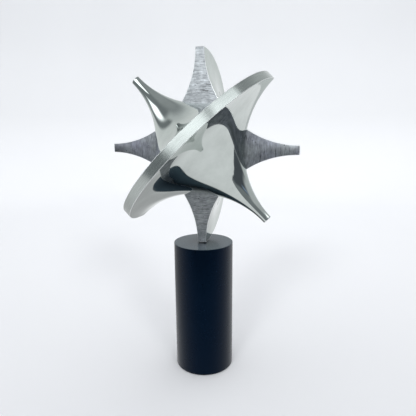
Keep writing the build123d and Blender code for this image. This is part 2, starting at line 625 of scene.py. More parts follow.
def black_anodised_aluminium(colour):
    """Turned aluminium, bead blasted and anodised black: a satin, faintly blue black
    skin with a soft sheen, fine turning lines and a slight dusting on top, thinner near
    the pin as a painted shade of the star."""
    material, tree, shader = start_material("black_anodised_aluminium")
    place = add_node(tree, "ShaderNodeTexCoord").outputs["Object"]
    cloud = add_node(
        tree, "ShaderNodeTexNoise", {"Vector": place, "Scale": 1000 / 28, "Detail": 4.0, "Roughness": 0.6}
    )
    rough = add_node(tree, "ShaderNodeMapRange", {"Value": cloud, 1: 0.3, 2: 0.7, 3: 0.24, 4: 0.32})
    # A pale dusting and worn skin on the top face, where the star is turned by hand.
    #     It thins near the pin, a painted shade of the star above.
    on_top, dust_and_shade = top_dust_and_shade(tree, place)
    dusted_and_shaded = add_node(
        tree,
        "ShaderNodeMix",
        {"Factor": dust_and_shade, 6: mottled(tree, colour, cloud, 0.3, 0.7, 0.8, 1.0), 7: opaque("#3A474E")},
        data_type="RGBA",
    )
    smoother = add_node(
        tree, "ShaderNodeMath", {0: on_top, 1: -0.4, 2: 1.0}, operation="MULTIPLY_ADD"
    )
    # Turning lines 0.6 mm apart up the side, coarser than the real feed.
    lines = drawn_lines(tree, place, (40, 40, 0.6), 3.0)
    line_bump = add_node(tree, "ShaderNodeBump", {"Height": lines, "Strength": 0.06, "Distance": 0.00004})
    grit = add_node(tree, "ShaderNodeTexNoise", {"Vector": place, "Scale": 1000 / 0.5, "Detail": 2.0})
    grit_bump = add_node(
        tree,
        "ShaderNodeBump",
        {"Height": grit, "Normal": line_bump, "Strength": 0.12, "Distance": 0.00003},
    )
    set_inputs(
        tree,
        shader,
        {
            "Base Color": dusted_and_shaded.outputs[2],
            "Roughness": shares_together(tree, [rough, smoother]),
            "Normal": grit_bump,
            "IOR": 1.45,
            "Specular Tint": opaque("#2468A8"),
        },
    )
    return material


def pressed_wool_felt(colour):
    """Pressed wool felt: matt, fuzzy, with short tangled fibres."""
    material, tree, shader = start_material("pressed_wool_felt")
    place = add_node(tree, "ShaderNodeTexCoord").outputs["Object"]
    fibres = add_node(
        tree,
        "ShaderNodeTexNoise",
        {"Vector": place, "Scale": 1000 / 0.7, "Detail": 5.0, "Roughness": 0.7, "Distortion": 1.5},
    )
    tint = mottled(tree, colour, fibres, 0.3, 0.7, 0.55, 1.0)
    bump = add_node(tree, "ShaderNodeBump", {"Height": fibres, "Strength": 0.8, "Distance": 0.0002})
    set_inputs(
        tree, shader, {"Base Color": tint, "Normal": bump, "Roughness": 0.95, "Sheen Weight": 0.25}
    )
    return material


# name: (sRGB colour, roughness, blotch size mm, line depth mm)
SMALL_METALS = {
    "ground_steel": ("#C4C5C8", 0.22, 3.0, 0.02),
    "turned_mild_steel": ("#B4B4B6", 0.34, 5.0, 0.05),
    "grey_cast_iron": ("#6A6A6C", 0.55, 2.0, 0.15),
    "zinc_plated_steel": ("#C2C6C8", 0.3, 4.0, 0.03),
    "hardened_ball_steel": ("#CFD0D2", 0.06, 6.0, 0.01),
    "nickel_plated_magnet": ("#CDC6B8", 0.16, 5.0, 0.02),
    "turned_brass": ("#D9B56B", 0.24, 4.0, 0.04),
    "bearing_bronze": ("#B8835A", 0.32, 3.0, 0.05),
}

SMALL_PIECES = {
    "pivot_rod": "ground_steel",
    "ballast_weight": "grey_cast_iron",
    "base_plate": "turned_mild_steel",
    "rod_washer": "zinc_plated_steel",
    "rod_nut": "zinc_plated_steel",
    "swivel_sleeve": "bearing_bronze",
    "thrust_ball": "hardened_ball_steel",
    "centring_peg": "turned_brass",
    "back_magnet_cup": "turned_mild_steel",
    "front_magnet_cup": "turned_mild_steel",
    "back_ring_magnet": "nickel_plated_magnet",
    "front_ring_magnet": "nickel_plated_magnet",
    "back_spacer_ring": "turned_brass",
    "front_spacer_ring": "turned_brass",
    "back_centre_bush": "turned_brass",
    "front_centre_bush": "turned_brass",
}


def small_metal(name):
    """Metal of a small turned piece: its own colour, a little tarnish in blotches, and
    fine tool marks."""
    code, roughness, blotch_mm, line_mm = SMALL_METALS[name]
    material, tree, shader = start_material(name)
    place = add_node(tree, "ShaderNodeTexCoord").outputs["Object"]
    tarnish = add_node(
        tree,
        "ShaderNodeTexNoise",
        {"Vector": place, "Scale": 1000 / blotch_mm, "Detail": 4.0, "Roughness": 0.6},
    )
    rough = add_node(
        tree,
        "ShaderNodeMapRange",
        {"Value": tarnish, 1: 0.3, 2: 0.7, 3: roughness * 1.25, 4: roughness},
    )
    # Tool marks 0.4 mm apart, coarser than real ones.
    tools = add_node(tree, "ShaderNodeTexNoise", {"Vector": place, "Scale": 1000 / 0.4, "Detail": 2.0})
    bump = add_node(
        tree, "ShaderNodeBump", {"Height": tools, "Strength": 0.25, "Distance": line_mm * MM}
    )
    tint = mottled(tree, srgb_to_linear(code), tarnish, 0.3, 0.7, 0.82, 1.0)
    set_inputs(
        tree, shader, {"Base Color": tint, "Roughness": rough, "Normal": bump, "Metallic": 1.0}
    )
    return material


# ---------------------------------------------------------------- the star halves
WELD_DISTANCE = 0.004 * MM
SEAT_GAP = 0.02 * MM
# Edges that bend more than these are shaded sharp, and are broken.
SHARP_BEND = math.radians(60)
BROKEN_BEND = math.radians(62)
# Material slots of a half.
BUFFED, BRUSHED, FACED, RUBBED = range(4)


def places_along(tree, given, grid_x):
    """Where a grid's columns lie along the horns, how far out from their axis, and how
    far each is lifted off the sawn face."""
    # One grid column for the middle of each end, the rest on the profile.
    gaps = add_node(tree, "ShaderNodeMath", {0: given["Columns"], 1: 1.0}, operation="SUBTRACT")
    half_gap = add_node(tree, "ShaderNodeMath", {0: 1.0, 1: gaps}, operation="DIVIDE")
    outer = add_node(tree, "ShaderNodeMath", {0: half_gap, 1: -2.0, 2: 1.0}, operation="MULTIPLY_ADD")
    beyond = add_node(tree, "ShaderNodeMath", {0: half_gap, 1: -1.0, 2: 1.0}, operation="MULTIPLY_ADD")
    from_middle = add_node(tree, "ShaderNodeMath", {0: grid_x}, operation="ABSOLUTE")
    side = add_node(tree, "ShaderNodeMath", {0: grid_x}, operation="SIGN")
    angle = add_node(
        tree, "ShaderNodeMapRange", {"Value": from_middle, 1: half_gap, 2: outer, 3: math.pi / 2, 4: 0.0}
    )
    star_r = add_node(tree, "ShaderNodeMath", {0: given["Span"], 1: 0.5}, operation="MULTIPLY")
    flank_r = add_node(
        tree, "ShaderNodeMath", {0: given["Rim width"], 1: -0.5, 2: star_r}, operation="MULTIPLY_ADD"
    )
    sine = add_node(tree, "ShaderNodeMath", {0: angle}, operation="SINE")
    cosine = add_node(tree, "ShaderNodeMath", {0: angle}, operation="COSINE")
    sine_part = add_node(tree, "ShaderNodeMath", {0: sine, 1: flank_r}, operation="MULTIPLY")
    cosine_part = add_node(tree, "ShaderNodeMath", {0: cosine, 1: flank_r}, operation="MULTIPLY")
    out_along = add_node(tree, "ShaderNodeMath", {0: star_r, 1: sine_part}, operation="SUBTRACT")
    along = add_node(tree, "ShaderNodeMath", {0: out_along, 1: side}, operation="MULTIPLY")
    full_radius = add_node(tree, "ShaderNodeMath", {0: star_r, 1: cosine_part}, operation="SUBTRACT")
    on_profile = add_node(tree, "ShaderNodeMath", {0: from_middle, 1: beyond}, operation="LESS_THAN")
    radius = add_node(tree, "ShaderNodeMath", {0: full_radius, 1: on_profile}, operation="MULTIPLY")
    # The end's middle point sits inside its half disc, not on its straight edge.
    end_lift = add_node(tree, "ShaderNodeMath", {0: given["Rim width"], 1: 0.2}, operation="MULTIPLY")
    is_end = add_node(tree, "ShaderNodeMath", {0: 1.0, 1: on_profile}, operation="SUBTRACT")
    lift = add_node(tree, "ShaderNodeMath", {0: end_lift, 1: is_end}, operation="MULTIPLY")
    return along, radius, lift


def start_of_turn(tree, radius, edge_break):
    """Angle at which the turned surface stops short of the sawn face for the edge break."""
    safe_radius = add_node(tree, "ShaderNodeMath", {0: radius, 1: edge_break}, operation="MAXIMUM")
    share = add_node(tree, "ShaderNodeMath", {0: edge_break, 1: safe_radius}, operation="DIVIDE")
    return add_node(tree, "ShaderNodeMath", {0: share}, operation="ARCSINE")


def bent_grid(tree, given, rows, place):
    """Flat grid with the half's columns and some rows, its points moved to their places."""
    grid = add_node(
        tree,
        "GeometryNodeMeshGrid",
        {"Size X": 2.0, "Size Y": 1.0, "Vertices X": given["Columns"], "Vertices Y": rows},
    )
    return add_node(tree, "GeometryNodeSetPosition", {"Geometry": grid, "Position": place})


def turned_side(tree, given, grid_y, along, radius, lift, start_angle):
    """The turned surface, from one broken edge round to the other."""
    end_angle = add_node(tree, "ShaderNodeMath", {0: math.pi, 1: start_angle}, operation="SUBTRACT")
    angle = add_node(
        tree, "ShaderNodeMapRange", {"Value": grid_y, 1: -0.5, 2: 0.5, 3: start_angle, 4: end_angle}
    )
    cosine = add_node(tree, "ShaderNodeMath", {0: angle}, operation="COSINE")
    sine = add_node(tree, "ShaderNodeMath", {0: angle}, operation="SINE")
    y = add_node(tree, "ShaderNodeMath", {0: cosine, 1: radius}, operation="MULTIPLY")
    z = add_node(tree, "ShaderNodeMath", {0: sine, 1: radius, 2: lift}, operation="MULTIPLY_ADD")
    place = add_node(tree, "ShaderNodeCombineXYZ", {0: along, 1: y, 2: z})
    return bent_grid(tree, given, given["Turn steps"], place)


def face_and_edges(tree, given, grid_y, along, radius, lift, start_angle):
    """The sawn face, and the narrow broken edge on each side of it."""
    inner_radius = add_node(
        tree, "ShaderNodeMath", {0: radius, 1: given["Edge break"]}, operation="SUBTRACT"
    )
    face_half = add_node(tree, "ShaderNodeMath", {0: inner_radius, 1: 0.0}, operation="MAXIMUM")
    half_y = add_node(tree, "ShaderNodeMath", {0: face_half, 1: grid_y}, operation="MULTIPLY")
    face_y = add_node(tree, "ShaderNodeMath", {0: half_y, 1: 2.0}, operation="MULTIPLY")
    face_place = add_node(tree, "ShaderNodeCombineXYZ", {0: along, 1: face_y, 2: lift})
    share = add_node(tree, "ShaderNodeMath", {0: grid_y, 1: 0.5}, operation="ADD")
    cosine = add_node(tree, "ShaderNodeMath", {0: start_angle}, operation="COSINE")
    outer = add_node(tree, "ShaderNodeMath", {0: cosine, 1: radius}, operation="MULTIPLY")
    sine = add_node(tree, "ShaderNodeMath", {0: start_angle}, operation="SINE")
    height = add_node(tree, "ShaderNodeMath", {0: sine, 1: radius}, operation="MULTIPLY")
    edge_y = add_node(
        tree, "ShaderNodeMapRange", {"Value": share, 1: 0.0, 2: 1.0, 3: face_half, 4: outer}
    )
    edge_z = add_node(
        tree, "ShaderNodeMath", {0: share, 1: height, 2: lift}, operation="MULTIPLY_ADD"
    )
    edge_place = add_node(tree, "ShaderNodeCombineXYZ", {0: along, 1: edge_y, 2: edge_z})
    other_y = add_node(tree, "ShaderNodeMath", {0: edge_y, 1: -1.0}, operation="MULTIPLY")
    other_place = add_node(tree, "ShaderNodeCombineXYZ", {0: along, 1: other_y, 2: edge_z})
    return (
        bent_grid(tree, given, 3, face_place),
        bent_grid(tree, given, 2, edge_place),
        bent_grid(tree, given, 2, other_place),
    )


def turned_half_tree():
    """Node tree for half of a double trumpet in its own frame: horns along X, rim across
    Y, metal on +Z. A grid is bent so that its columns run from horn end to horn end and
    its rows go round the half turn; flat grids close it along the sawn face."""
    tree = new_tree(
        "Turned half",
        [
            ("Span", "NodeSocketFloat"),
            ("Rim width", "NodeSocketFloat"),
            ("Edge break", "NodeSocketFloat"),
            ("Columns", "NodeSocketInt"),
            ("Turn steps", "NodeSocketInt"),
            ("Material", "NodeSocketMaterial"),
        ],
    )
    given = add_node(tree, "NodeGroupInput").outputs
    place = add_node(tree, "GeometryNodeInputPosition")
    grid_place = add_node(tree, "ShaderNodeSeparateXYZ", {0: place}).outputs
    along, radius, lift = places_along(tree, given, grid_place[0])
    start_angle = start_of_turn(tree, radius, given["Edge break"])
    shape = (tree, given, grid_place[1], along, radius, lift, start_angle)
    turned = turned_side(*shape)
    sawn_face, edge, other_edge = face_and_edges(*shape)
    # Grids face along +Z as made, which is into the metal for all but one edge strip.
    to_flip = add_node(tree, "GeometryNodeJoinGeometry", {0: [turned, sawn_face, edge]})
    flipped = add_node(tree, "GeometryNodeFlipFaces", {"Mesh": to_flip})
    joined = add_node(tree, "GeometryNodeJoinGeometry", {0: [flipped, other_edge]})
    merged = add_node(
        tree, "GeometryNodeMergeByDistance", {"Geometry": joined, "Distance": WELD_DISTANCE}
    )
    smooth = add_node(tree, "GeometryNodeSetShadeSmooth", {"Geometry": merged, "Shade Smooth": True})
    return end_tree(tree, given, smooth)


def star_cutters(tree, given):
    """Cylinders that cut the bores, each twice as long as its bore is deep."""
    cutters = {}
    for bore, sides in (("Pocket", 128), ("Thread", 48), ("Sleeve", 48), ("Pin", 32)):
        length = add_node(
            tree, "ShaderNodeMath", {0: given[bore + " depth"], 1: 2.0}, operation="MULTIPLY"
        )
        cutters[bore] = add_node(
            tree,
            "GeometryNodeMeshCylinder",
            {"Vertices": sides, "Radius": given[bore + " radius"], "Depth": length},
            fill_type="NGON",
        )
    return cutters


def bored_half_tree():
    """Node tree that cuts the magnet's pocket and the bush's hole into the sawn face,
    and, where asked, the pivot's two bores up from the rim's lowest point."""
    tree = new_tree(
        "Bored half",
        [
            ("Span", "NodeSocketFloat"),
            ("Pocket radius", "NodeSocketFloat"),
            ("Pocket depth", "NodeSocketFloat"),
            ("Thread radius", "NodeSocketFloat"),
            ("Thread depth", "NodeSocketFloat"),
            ("Has pivot", "NodeSocketBool"),
            ("Pivot setback", "NodeSocketFloat"),
            ("Sleeve radius", "NodeSocketFloat"),
            ("Sleeve depth", "NodeSocketFloat"),
            ("Pin radius", "NodeSocketFloat"),
            ("Pin depth", "NodeSocketFloat"),
            ("Material", "NodeSocketMaterial"),
        ],
    )
    given = add_node(tree, "NodeGroupInput").outputs
    cutters = star_cutters(tree, given)
    faced = add_node(
        tree,
        "GeometryNodeMeshBoolean",
        {0: given["Geometry"], 1: [cutters["Pocket"], cutters["Thread"]]},
        operation="DIFFERENCE",
        solver="MANIFOLD",
    )
    star_r = add_node(tree, "ShaderNodeMath", {0: given["Span"], 1: 0.5}, operation="MULTIPLY")
    pivot_place = add_node(
        tree, "ShaderNodeCombineXYZ", {0: 0.0, 1: star_r, 2: given["Pivot setback"]}
    )
    uprights = [
        add_node(
            tree,
            "GeometryNodeTransform",
            {
                "Geometry": cutters[bore],
                "Translation": pivot_place,
                "Rotation": (math.pi / 2, 0.0, 0.0),
            },
        )
        for bore in ("Sleeve", "Pin")
    ]
    pivoted = add_node(
        tree,
        "GeometryNodeMeshBoolean",
        {0: faced, 1: uprights},
        operation="DIFFERENCE",
        solver="MANIFOLD",
    )
    chosen = add_node(
        tree,
        "GeometryNodeSwitch",
        {"Switch": given["Has pivot"], "False": faced, "True": pivoted},
        input_type="GEOMETRY",
    )
    smooth = add_node(tree, "GeometryNodeSetShadeSmooth", {"Geometry": chosen, "Shade Smooth": True})
    bend = add_node(tree, "GeometryNodeInputMeshEdgeAngle").outputs["Unsigned Angle"]
    is_sharp = add_node(tree, "ShaderNodeMath", {0: bend, 1: SHARP_BEND}, operation="GREATER_THAN")
    creased = add_node(
        tree,
        "GeometryNodeSetShadeSmooth",
        {"Geometry": smooth, "Selection": is_sharp, "Shade Smooth": False},
        domain="EDGE",
    )
    return end_tree(tree, given, creased)


def sort_half_faces(mesh, sizes):
    """Give each face of a half its finish, while it is still in its own frame."""
    same_way = 0.985
    slack = 0.2 * MM
    count = len(mesh.polygons)
    centre = np.zeros(count * 3)
    normal = np.zeros(count * 3)
    mesh.polygons.foreach_get("center", centre)
    mesh.polygons.foreach_get("normal", normal)
    centre = centre.reshape(-1, 3)
    normal = normal.reshape(-1, 3)
    star_r = sizes.span / 2
    radius = np.hypot(centre[:, 1], centre[:, 2])
    safe = np.maximum(radius, 1e-9)
    outward = np.stack([np.zeros(count), centre[:, 1] / safe, centre[:, 2] / safe], 1)
    # From a face to the centre of its flank's arc.
    to_arc_x = np.sign(centre[:, 0]) * star_r - centre[:, 0]
    to_arc_r = star_r - radius
    arc_length = np.maximum(np.hypot(to_arc_x, to_arc_r), 1e-9)
    arc = outward * (to_arc_r / arc_length)[:, None]
    arc[:, 0] += to_arc_x / arc_length
    flank_r = star_r - sizes.rim_width / 2
    flank = (np.einsum("ij,ij->i", normal, arc) > same_way) & (np.abs(arc_length - flank_r) < 2 * slack)
    rim = (np.einsum("ij,ij->i", normal, outward) > same_way) & (radius > star_r - 1.5 * slack)
    end = (np.abs(normal[:, 0]) > same_way) & (np.abs(centre[:, 0]) > star_r - slack)
    sawn = (normal[:, 2] < -same_way) & (np.abs(centre[:, 2]) < slack / 10)
    in_pocket = np.hypot(centre[:, 0], centre[:, 1]) < sizes.pocket_radius + slack
    inside = in_pocket & (centre[:, 2] < sizes.thread_depth + slack) & ~flank
    bored = (np.abs(centre[:, 0]) < sizes.sleeve_radius + slack) & ~(flank | rim)
    finish = np.full(count, RUBBED, np.int32)
    finish[bored | inside | sawn | end] = FACED
    finish[rim] = BRUSHED
    finish[flank] = BUFFED
    mesh.polygons.foreach_set("material_index", finish)


def note_turned_places(mesh, placing):
    """Keep each point's place in the half's own frame, and which way lies across the
    tool marks, for the finishes to follow."""
    points = np.zeros(len(mesh.vertices) * 3)
    mesh.vertices.foreach_get("co", points)
    points = points.reshape(-1, 3)
    kept = mesh.attributes.new("turned_place", "FLOAT_VECTOR", "POINT")
    kept.data.foreach_set("vector", points.astype(np.float32).ravel())
    corner_point = np.zeros(len(mesh.loops), np.int32)
    mesh.loops.foreach_get("vertex_index", corner_point)
    corner_face = np.zeros(len(mesh.loops), np.int32)
    finish = np.zeros(len(mesh.polygons), np.int32)
    mesh.polygons.foreach_get("material_index", finish)
    for face in mesh.polygons:
        corner_face[face.loop_start : face.loop_start + face.loop_total] = face.index
    flat = points[corner_point]
    length = np.maximum(np.hypot(flat[:, 0], flat[:, 1]), 1e-6)
    across = np.zeros((len(corner_point), 3))
    across[:, 0] = 1.0
    faced = finish[corner_face] == FACED
    across[faced, 0] = flat[faced, 0] / length[faced]
    across[faced, 1] = flat[faced, 1] / length[faced]
    turned = across @ np.array(placing.to_3x3()).T
    kept = mesh.attributes.new("across_marks", "FLOAT_VECTOR", "CORNER")
    kept.data.foreach_set("vector", turned.astype(np.float32).ravel())


def make_half(name, sizes, placing, has_pivot, finishes):
    """One star half: blank, broken edges, bores, then put in its place."""
    piece = empty_piece(name)
    blank = bpy.data.node_groups.get("Turned half") or turned_half_tree()
    bored = bpy.data.node_groups.get("Bored half") or bored_half_tree()
    add_tree(
        piece,
        blank,
        {
            "Span": sizes.span,
            "Rim width": sizes.rim_width,
            "Edge break": sizes.edge_break,
            "Columns": sizes.flank_columns,
            "Turn steps": sizes.turn_steps,
            "Material": finishes[BUFFED],
        },
    )
    bevel = piece.modifiers.new("Broken edges", "BEVEL")
    bevel.width = sizes.edge_break
    bevel.segments = 2
    bevel.limit_method = "ANGLE"
    bevel.angle_limit = BROKEN_BEND
    bevel.use_clamp_overlap = False
    add_tree(
        piece,
        bored,
        {
            "Span": sizes.span,
            "Pocket radius": sizes.pocket_radius,
            "Pocket depth": sizes.pocket_depth,
            "Thread radius": sizes.thread_radius,
            "Thread depth": sizes.thread_depth,
            "Has pivot": has_pivot,
            "Pivot setback": -back_low.y,
            "Sleeve radius": sizes.sleeve_radius,
            "Sleeve depth": sleeve_high.z - back_low.z + SEAT_GAP,
            "Pin radius": sizes.pin_bore_radius,
            "Pin depth": ball_high.z - back_low.z + SEAT_GAP,
            "Material": finishes[BUFFED],
        },
    )
    even = piece.modifiers.new("Even shading", "WEIGHTED_NORMAL")
    even.keep_sharp = True
    make_plain(piece)
    mesh = piece.data
    mesh.materials.clear()
    for material in finishes:
        mesh.materials.append(material)
    sort_half_faces(mesh, sizes)
    note_turned_places(mesh, placing)
    mesh.transform(placing)
    mesh.update()
    return piece


class SCULPTURE_OT_star_halves(bpy.types.Operator):
    """Make the two aluminium halves, with their buffed, brushed and faced surfaces"""

    bl_idname = "sculpture.star_halves"
    bl_label = "Star halves"
    bl_options = {"REGISTER", "UNDO"}

    def execute(self, context):
        sizes = context.scene.sculpture_star
        colours = context.scene.sculpture_colours
        finishes = [
            buffed_aluminium(colours.aluminium),
            belt_brushed_aluminium(colours.aluminium),
            faced_aluminium(colours.sawn_aluminium),
            rubbed_edge_aluminium(srgb_to_linear("#EDEFEF")),
        ]
        # Columns are a half's own X, Y and Z: along its horns, along its rim, into its metal.
        back_turn = Matrix(((1, 0, 0), (0, 0, 1), (0, -1, 0)))
        cosine = math.cos(sizes.front_turn)
        sine = math.sin(sizes.front_turn)
        front_turn = Matrix(((cosine, sine, 0), (0, 0, -1), (-sine, cosine, 0)))
        back_place = Vector((star_centre.x, back_low.y, star_centre.z))
        front_place = Vector((star_centre.x, front_high.y, star_centre.z))
        back = make_half(
            "star_half_back", sizes, Matrix.Translation(back_place) @ back_turn.to_4x4(), True, finishes
        )
        front = make_half(
            "star_half_front", sizes, Matrix.Translation(front_place) @ front_turn.to_4x4(), False, finishes
        )
        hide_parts("back_half")
        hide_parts("front_half")
        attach(back, "star_back")
        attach(front, "star_front")
        return {"FINISHED"}


# ---------------------------------------------------------------- the column and its felt


def turned_piece(name, outline, steps, material):
    """Closed solid of revolution about Z from a closed outline of radius and height."""
    count = len(outline)
    angles = [2 * math.pi * k / steps for k in range(steps)]
    points = [(r * math.cos(a), r * math.sin(a), z) for a in angles for r, z in outline]
    faces = []
    for k in range(steps):
        this_row = k * count
        next_row = ((k + 1) % steps) * count
        for i in range(count):
            j = (i + 1) % count
            faces.append((this_row + i, next_row + i, next_row + j, this_row + j))
    piece = empty_piece(name)
    piece.data.from_pydata(points, [], faces)
    piece.data.validate()
    piece.data.shade_smooth()
    piece.data.set_sharp_from_angle(angle=math.radians(50))
    piece.data.materials.append(material)
    return piece


def rounded_corner(radius, height, reach, turn_from, steps=4):
    """Points of a quarter circle that rounds a corner, from one angle for a quarter turn."""
    angles = [turn_from + math.pi / 2 * k / steps for k in range(steps + 1)]
    return [(radius + reach * math.cos(a), height + reach * math.sin(a)) for a in angles]


def make_column(sizes, material):
    """Hollow black column, with a rounded top edge and the pin's hole."""
    outer = sizes.diameter / 2
    inner = outer - sizes.wall
    reach = sizes.edge_break
    bottom = column_low.z
    top = column_high.z
    inner_top = slug_high.z
    rod_bore = 4.02 * MM
    rod_shoulder = inner_top + 10.0 * MM
    pin_hole = 4.7625 / 2 * MM + 0.02 * MM
    hole_break = 0.1 * MM
    side_steps = 24
    top_steps = 12
    profile = [(inner, bottom)]
    profile += rounded_corner(outer - reach, bottom + reach, reach, -math.pi / 2)
    profile += [(outer, bottom + (top - bottom) * k / side_steps) for k in range(1, side_steps)]
    profile += rounded_corner(outer - reach, top - reach, reach, 0.0)
    profile += [(outer * k / top_steps, top) for k in range(top_steps - 1, 1, -1)]
    profile += [
        (pin_hole + hole_break, top),
        (pin_hole, top - hole_break),
        (pin_hole, rod_shoulder),
        (rod_bore, rod_shoulder),
        (rod_bore, inner_top),
        (inner, inner_top),
    ]
    column = turned_piece("column", profile, 256, material)
    even = column.modifiers.new("Even shading", "WEIGHTED_NORMAL")
    even.keep_sharp = True
    make_plain(column)
    return column


def make_felt(soft, material):
    """Felt pad with a soft rim."""
    middle = 0.2 * MM
    radius = (pad_high.x - pad_low.x) / 2
    outline = [(middle, pad_low.z)]
    outline += rounded_corner(radius - soft, pad_low.z + soft, soft, -math.pi / 2)
    outline += rounded_corner(radius - soft, pad_high.z - soft, soft, 0.0)
    outline += [(middle, pad_high.z)]
    return turned_piece("felt_foot", outline, 192, material)


class SCULPTURE_OT_column(bpy.types.Operator):
    """Make the black anodised column and the felt under it"""

    bl_idname = "sculpture.column"
    bl_label = "Column and felt"
    bl_options = {"REGISTER", "UNDO"}

    def execute(self, context):
        sizes = context.scene.sculpture_column
        colours = context.scene.sculpture_colours
        column = make_column(sizes, black_anodised_aluminium(colours.anodising))
        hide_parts("column_shell")
        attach(column, "pedestal")
        felt = make_felt(sizes.felt_break, pressed_wool_felt(colours.felt))
        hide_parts("felt_pad")
        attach(felt, "pedestal")
        return {"FINISHED"}


# ---------------------------------------------------------------- small pieces


class SCULPTURE_OT_small_pieces(bpy.types.Operator):
    """Give the pivot, magnets, bushes and ballast their finishes"""

    bl_idname = "sculpture.small_pieces"
    bl_label = "Small pieces"
    bl_options = {"REGISTER", "UNDO"}

    def execute(self, context):
        made = {name: small_metal(name) for name in SMALL_METALS}
        for node, finish in SMALL_PIECES.items():
            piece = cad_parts[node]
            if not piece.material_slots:
                piece.data.materials.append(made[finish])
            for slot in piece.material_slots:
                slot.material = made[finish]
        return {"FINISHED"}


# ---------------------------------------------------------------- the studio

# What the polished metal sees of the room, over a dark wall in front: name, azimuth from
# straight ahead towards the right, elevation, turn of the patch, half width and half
# height, softness (all degrees), sRGB colour, strength.
ROOM_PATCHES = [
    ("ceiling", 0, 90, 0, 400, 34, 12, "#A3A8AA", 1.0),
    ("back wall", 180, 18, 0, 90, 33, 9, "#CDD2D3", 1.0),
    ("left back wall", -132, 16, 0, 26, 24, 8, "#E4E8E8", 1.0),
    ("bright wall behind", 176, 10, 0, 30, 14, 6, "#E6EAEB", 1.0),
    ("right wall", 85, 24, 0, 40, 19, 9, "#C6CACC", 1.0),
    ("right furniture", 92, -10, 0, 32, 15, 5, "#54595F", 1.0),
    ("blue box", 69, 0, 0, 5, 5, 3, "#8597AD", 1.0),
    ("left dark screen", -101, 14, 0, 6, 24, 4, "#82888A", 1.0),
    ("left window", -77, 17, 0, 13, 12, 6, "#F4F8FA", 2.9),
    ("front window, left", -16, 22, 0, 15, 20, 3, "#F4F8FA", 2.6),
    ("front window", 0.5, 26.5, 20, 28, 17, 3, "#F4F8FA", 2.6),
    ("side window", 62, 44, 8, 28, 10, 4, "#F4F8FA", 3.3),
]
DARK_WALL = "#858B8E"
# Outline of the pale table, metres.
TABLE_OUTLINE = [
    (-0.75, -0.5),
    (-0.3, -0.45),
    (-0.1, -0.33),
    (0.25, -0.29),
    (0.4, -0.2),
    (0.72, -0.13),
    (0.95, 0.05),
    (0.9, 0.3),
    (0.72, 0.5),
    (0.72, 1.6),
    (-0.75, 1.6),
]


def room_patch(tree, azimuth, elevation, patch, below):
    """Lay one soft-edged patch of the room over what is there already."""
    _name, turn_to, height, lean, half_w, half_h, soft, code, power = patch
    offset = add_node(tree, "ShaderNodeMath", {0: azimuth, 1: float(turn_to)}, operation="SUBTRACT")
    across = add_node(tree, "ShaderNodeMath", {0: offset, 1: 180.0, 2: -180.0}, operation="WRAP")
    up = add_node(tree, "ShaderNodeMath", {0: elevation, 1: float(height)}, operation="SUBTRACT")
    together = add_node(tree, "ShaderNodeCombineXYZ", {0: across, 1: up})
    leaned = add_node(
        tree,
        "ShaderNodeVectorRotate",
        {"Vector": together, "Angle": math.radians(-lean)},
        rotation_type="Z_AXIS",
    )
    away = add_node(tree, "ShaderNodeVectorMath", {0: leaned}, operation="ABSOLUTE")
    sides = add_node(tree, "ShaderNodeSeparateXYZ", {0: away}).outputs
    masks = [
        add_node(
            tree,
            "ShaderNodeMapRange",
            {"Value": side, 1: float(half + soft), 2: float(half - soft), 3: 0.0, 4: 1.0},
            interpolation_type="SMOOTHSTEP",
        )
        for side, half in ((sides[0], half_w), (sides[1], half_h))
    ]
    colour = (*[v * power for v in srgb_to_linear(code)], 1.0)
    mixed = add_node(
        tree,
        "ShaderNodeMix",
        {"Factor": shares_together(tree, masks), 6: below, 7: colour},
        data_type="RGBA",
    )
    return mixed.outputs[2]


def build_world(scene, strength):
    """Even pale light all round; polished metal sees a quiet room instead."""
    world = bpy.data.worlds.new("studio_room")
    scene.world = world
    world.use_nodes = True
    tree = world.node_tree
    tree.nodes.clear()
    direction = add_node(tree, "ShaderNodeTexCoord").outputs["Generated"]
    parts = add_node(tree, "ShaderNodeSeparateXYZ", {0: direction}).outputs
    minus_y = add_node(tree, "ShaderNodeMath", {0: parts[1], 1: -1.0}, operation="MULTIPLY")
    turned = add_node(tree, "ShaderNodeMath", {0: parts[0], 1: minus_y}, operation="ARCTAN2")
    raised = add_node(tree, "ShaderNodeMath", {0: parts[2]}, operation="ARCSINE")
    azimuth, elevation = [
        add_node(tree, "ShaderNodeMath", {0: angle, 1: 180 / math.pi}, operation="MULTIPLY")
        for angle in (turned, raised)
    ]
    seen = opaque(DARK_WALL)
    for patch in ROOM_PATCHES:
        seen = room_patch(tree, azimuth, elevation, patch, seen)
    room = add_node(tree, "ShaderNodeBackground", {"Color": seen, "Strength": 1.0})
    pale = add_node(
        tree, "ShaderNodeBackground", {"Color": opaque("#F8F8FB"), "Strength": strength}
    )
    ray = add_node(tree, "ShaderNodeLightPath").outputs["Is Glossy Ray"]
    chosen = add_node(tree, "ShaderNodeMixShader", {0: ray, 1: pale, 2: room})
    add_node(tree, "ShaderNodeOutputWorld", {"Surface": chosen})


